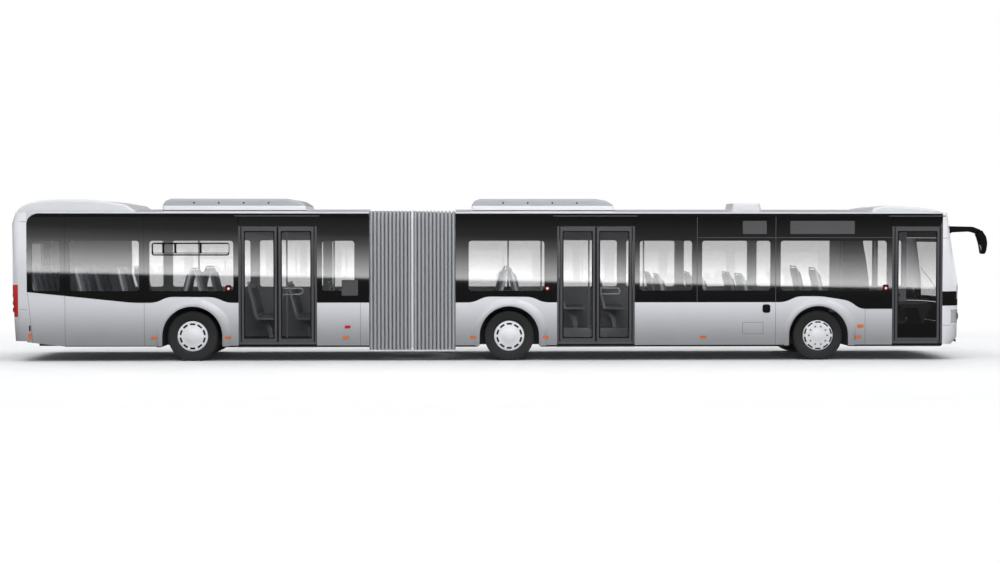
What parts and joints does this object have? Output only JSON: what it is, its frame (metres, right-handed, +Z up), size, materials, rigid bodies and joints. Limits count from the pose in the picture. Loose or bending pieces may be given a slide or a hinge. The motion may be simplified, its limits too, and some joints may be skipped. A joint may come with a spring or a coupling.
{
  "type": "articulated city bus",
  "caption": "Articulated low-floor city bus: silver cars with dark glass bands, joined by a turntable and folded bellows, with inward-gliding doors.",
  "frame": {"origin": "on the road under the middle of the whole box, between the tail and the mirror tips", "axes": "+X forward, +Y to the bus's left, +Z up; the doors are on the right, at -Y"},
  "size_m": [18.555, 2.55, 3.083],
  "materials": {
    "silver_paint": "satin metallic",
    "dark_glass": "gloss tinted",
    "clear_lamp": "gloss",
    "red_lamp": "gloss",
    "roof_white": "satin",
    "bellows_cloth": "matte",
    "floor_grey": "matte",
    "seat_cloth": "woven",
    "cab_plastic": "matte",
    "black_trim": "gloss",
    "door_frame": "satin",
    "chassis_black": "satin",
    "bare_steel": "brushed",
    "rim_silver": "satin",
    "tyre_rubber": "matte",
    "engine_iron": "cast"
  },
  "bodies": {
    "front_car": {"front_walls": "silver_paint", "front_roof": "silver_paint", "front_floor": "floor_grey", "front_wheelhouses": "floor_grey", "tow_socket": "chassis_black", "front_panels": "silver_paint", "front_glass": "dark_glass", "windscreen": "dark_glass", "headlamps": "clear_lamp", "front_roof_covers": "roof_white", "front_seats": "seat_cloth", "driver_cab": "cab_plastic", "mirrors": "black_trim", "front_axle": "chassis_black", "middle_axle": "chassis_black", "turntable_front": "bare_steel", "bellows_front": "bellows_cloth"},
    "rear_car": {"rear_walls": "silver_paint", "rear_roof": "silver_paint", "rear_floor": "floor_grey", "tail_panel": "silver_paint", "rear_glass": "dark_glass", "tail_lamps": "red_lamp", "rear_roof_covers": "roof_white", "rear_seats": "seat_cloth", "engine": "engine_iron", "rear_axle": "chassis_black", "turntable_rear": "chassis_black", "bellows_rear": "bellows_cloth"},
    "bellows_hoop": {"bellows_frame": "bare_steel"},
    "engine_lid": {"engine_flap": "silver_paint"},
    "steering_left": {"knuckle_left": "chassis_black"},
    "front_wheel_left": {"front_tyre_left": "tyre_rubber", "front_rim_left": "rim_silver"},
    "middle_wheels_left": {"middle_tyres_left": "tyre_rubber", "middle_rim_left": "rim_silver"},
    "rear_wheels_left": {"rear_tyres_left": "tyre_rubber", "rear_rim_left": "rim_silver"},
    "steering_right": {"knuckle_right": "chassis_black"},
    "front_wheel_right": {"front_tyre_right": "tyre_rubber", "front_rim_right": "rim_silver"},
    "middle_wheels_right": {"middle_tyres_right": "tyre_rubber", "middle_rim_right": "rim_silver"},
    "rear_wheels_right": {"rear_tyres_right": "tyre_rubber", "rear_rim_right": "rim_silver"},
    "door_1_gear": {"door_1_arms": "bare_steel"},
    "door_1_panel": {"door_1_leaf": "door_frame", "door_1_glass": "dark_glass"},
    "door_2_rear_gear": {"door_2_rear_arms": "bare_steel"},
    "door_2_rear_panel": {"door_2_rear_leaf": "door_frame", "door_2_rear_glass": "dark_glass"},
    "door_2_front_gear": {"door_2_front_arms": "bare_steel"},
    "door_2_front_panel": {"door_2_front_leaf": "door_frame", "door_2_front_glass": "dark_glass"},
    "door_3_rear_gear": {"door_3_rear_arms": "bare_steel"},
    "door_3_rear_panel": {"door_3_rear_leaf": "door_frame", "door_3_rear_glass": "dark_glass"},
    "door_3_front_gear": {"door_3_front_arms": "bare_steel"},
    "door_3_front_panel": {"door_3_front_leaf": "door_frame", "door_3_front_glass": "dark_glass"}
  },
  "joints": [
    {"name": "articulation", "type": "hinge", "parent": "front_car", "child": "rear_car", "pos_m": [-1.6945, 0, 0.25], "axis": [0, 0, -1], "range_deg": [-46, 46], "deforming": ["bellows_front", "bellows_rear"]},
    {"name": "bellows_hoop_turn", "type": "hinge", "parent": "front_car", "child": "bellows_hoop", "pos_m": [-1.6945, 0, 0.26], "axis": [0, 0, -1], "range_deg": [-23, 23]},
    {"name": "engine_flap_hinge", "type": "hinge", "parent": "rear_car", "child": "engine_lid", "pos_m": [-9.2575, 0, 1.276], "axis": [0, 1, 0], "range_deg": [0, 80]},
    {"name": "steer_left", "type": "hinge", "parent": "front_car", "child": "steering_left", "pos_m": [6.0425, 0.985, 0.47], "axis": [0, 0, 1], "range_deg": [-46, 46]},
    {"name": "front_wheel_left_spin", "type": "hinge", "parent": "steering_left", "child": "front_wheel_left", "pos_m": [6.0425, 1.085, 0.47], "axis": [0, 1, 0], "continuous": true},
    {"name": "middle_wheels_left_spin", "type": "hinge", "parent": "front_car", "child": "middle_wheels_left", "pos_m": [0.1425, 1, 0.47], "axis": [0, 1, 0], "continuous": true},
    {"name": "rear_wheels_left_spin", "type": "hinge", "parent": "rear_car", "child": "rear_wheels_left", "pos_m": [-5.8475, 1, 0.47], "axis": [0, 1, 0], "continuous": true},
    {"name": "steer_right", "type": "hinge", "parent": "front_car", "child": "steering_right", "pos_m": [6.0425, -0.985, 0.47], "axis": [0, 0, 1], "range_deg": [-46, 46]},
    {"name": "front_wheel_right_spin", "type": "hinge", "parent": "steering_right", "child": "front_wheel_right", "pos_m": [6.0425, -1.085, 0.47], "axis": [0, 1, 0], "continuous": true},
    {"name": "middle_wheels_right_spin", "type": "hinge", "parent": "front_car", "child": "middle_wheels_right", "pos_m": [0.1425, -1, 0.47], "axis": [0, 1, 0], "continuous": true},
    {"name": "rear_wheels_right_spin", "type": "hinge", "parent": "rear_car", "child": "rear_wheels_right", "pos_m": [-5.8475, -1, 0.47], "axis": [0, 1, 0], "continuous": true},
    {"name": "door_1_swing", "type": "hinge", "parent": "front_car", "child": "door_1_gear", "pos_m": [8.4235, -1.175, 1.4], "axis": [0, 0, -1], "range_deg": [0, 84]},
    {"name": "door_1_fold", "type": "hinge", "parent": "door_1_gear", "child": "door_1_panel", "pos_m": [7.9375, -1.175, 1.4], "axis": [0, 0, 1], "range_deg": [0, 168]},
    {"name": "door_2_rear_swing", "type": "hinge", "parent": "front_car", "child": "door_2_rear_gear", "pos_m": [1.0475, -1.175, 1.4], "axis": [0, 0, 1], "range_deg": [0, 84]},
    {"name": "door_2_rear_fold", "type": "hinge", "parent": "door_2_rear_gear", "child": "door_2_rear_panel", "pos_m": [1.4415, -1.175, 1.4], "axis": [0, 0, -1], "range_deg": [0, 168]},
    {"name": "door_2_front_swing", "type": "hinge", "parent": "front_car", "child": "door_2_front_gear", "pos_m": [2.5315, -1.175, 1.4], "axis": [0, 0, -1], "range_deg": [0, 84]},
    {"name": "door_2_front_fold", "type": "hinge", "parent": "door_2_front_gear", "child": "door_2_front_panel", "pos_m": [2.1375, -1.175, 1.4], "axis": [0, 0, 1], "range_deg": [0, 168]},
    {"name": "door_3_rear_swing", "type": "hinge", "parent": "rear_car", "child": "door_3_rear_gear", "pos_m": [-4.9795, -1.175, 1.4], "axis": [0, 0, 1], "range_deg": [0, 84]},
    {"name": "door_3_rear_fold", "type": "hinge", "parent": "door_3_rear_gear", "child": "door_3_rear_panel", "pos_m": [-4.5855, -1.175, 1.4], "axis": [0, 0, -1], "range_deg": [0, 168]},
    {"name": "door_3_front_swing", "type": "hinge", "parent": "rear_car", "child": "door_3_front_gear", "pos_m": [-3.4955, -1.175, 1.4], "axis": [0, 0, -1], "range_deg": [0, 84]},
    {"name": "door_3_front_fold", "type": "hinge", "parent": "door_3_front_gear", "child": "door_3_front_panel", "pos_m": [-3.8895, -1.175, 1.4], "axis": [0, 0, 1], "range_deg": [0, 168]}
  ],
  "couplings": [
    {"joint": "bellows_hoop_turn", "follows": "articulation", "ratio": 0.5},
    {"joint": "steer_right", "follows": "steer_left", "ratio": 1},
    {"joint": "door_1_fold", "follows": "door_1_swing", "ratio": 2},
    {"joint": "door_2_rear_fold", "follows": "door_2_rear_swing", "ratio": 2},
    {"joint": "door_2_front_fold", "follows": "door_2_front_swing", "ratio": 2},
    {"joint": "door_3_rear_fold", "follows": "door_3_rear_swing", "ratio": 2},
    {"joint": "door_3_front_fold", "follows": "door_3_front_swing", "ratio": 2}
  ]
}
